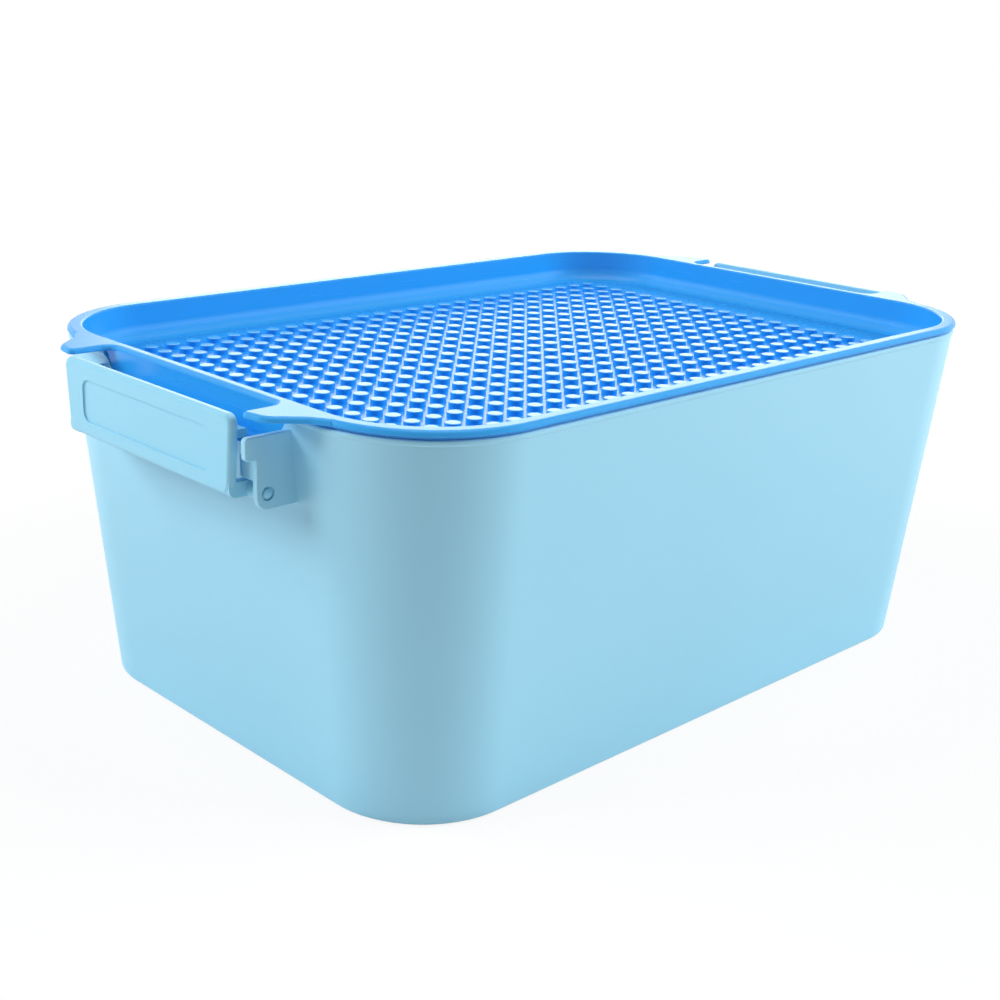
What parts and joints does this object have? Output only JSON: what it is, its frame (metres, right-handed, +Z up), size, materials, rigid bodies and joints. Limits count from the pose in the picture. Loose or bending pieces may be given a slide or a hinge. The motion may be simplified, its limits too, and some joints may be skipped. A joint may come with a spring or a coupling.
{
  "type": "toy storage box",
  "caption": "Tapered plastic storage box with a studded tray lid and two swinging end latches that double as carrying handles.",
  "frame": {"origin": "middle of the box on the surface that it stands on", "axes": "+X along the long side, +Y across the short side, +Z up"},
  "size_m": [0.3024, 0.1906, 0.116],
  "materials": {
    "pale_blue": "satin-gloss moulded plastic",
    "deep_blue": "gloss moulded plastic"
  },
  "bodies": {
    "tub_body": {"tub": "pale_blue", "hinge_pins": "pale_blue"},
    "lid": {"lid_tray": "deep_blue", "stud_panel": "deep_blue"},
    "left_latch": {"left_latch": "pale_blue"},
    "right_latch": {"right_latch": "pale_blue"}
  },
  "joints": [
    {"name": "lid_lift", "type": "slide", "parent": "tub_body", "child": "lid", "axis": [0, 0, 1], "range_m": [0, 0.06]},
    {"name": "left_latch_hinge", "type": "hinge", "parent": "tub_body", "child": "left_latch", "pos_m": [-0.1431, 0, 0.0939], "axis": [0, -1, 0], "range_deg": [0, 175]},
    {"name": "right_latch_hinge", "type": "hinge", "parent": "tub_body", "child": "right_latch", "pos_m": [0.1431, 0, 0.0939], "axis": [0, 1, 0], "range_deg": [0, 175]}
  ]
}
